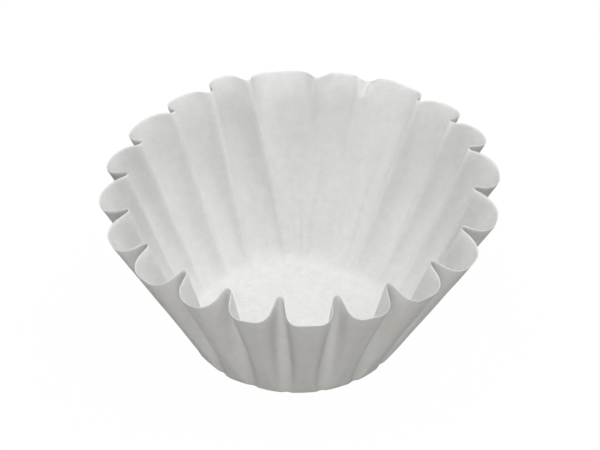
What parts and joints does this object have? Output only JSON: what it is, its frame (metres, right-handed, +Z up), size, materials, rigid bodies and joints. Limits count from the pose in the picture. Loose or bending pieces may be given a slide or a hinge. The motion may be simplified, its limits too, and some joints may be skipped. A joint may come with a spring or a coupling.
{
  "type": "paper coffee filter",
  "caption": "Flat-bottomed paper coffee filter: one round sheet pressed into a flared cup with a fluted wall, which holds ground coffee in a dripper.",
  "frame": {"origin": "middle of the flat base, on its underside, where the filter rests", "axes": "+Z up along the cup's axis towards its mouth, -Y towards the side that the picture shows in front"},
  "size_m": [0.1035, 0.1037, 0.0489],
  "materials": {
    "filter_paper": "matte unglazed filter paper with a soft cloudy fibre"
  },
  "bodies": {
    "root": {"filter_paper": "filter_paper"}
  },
  "joints": []
}
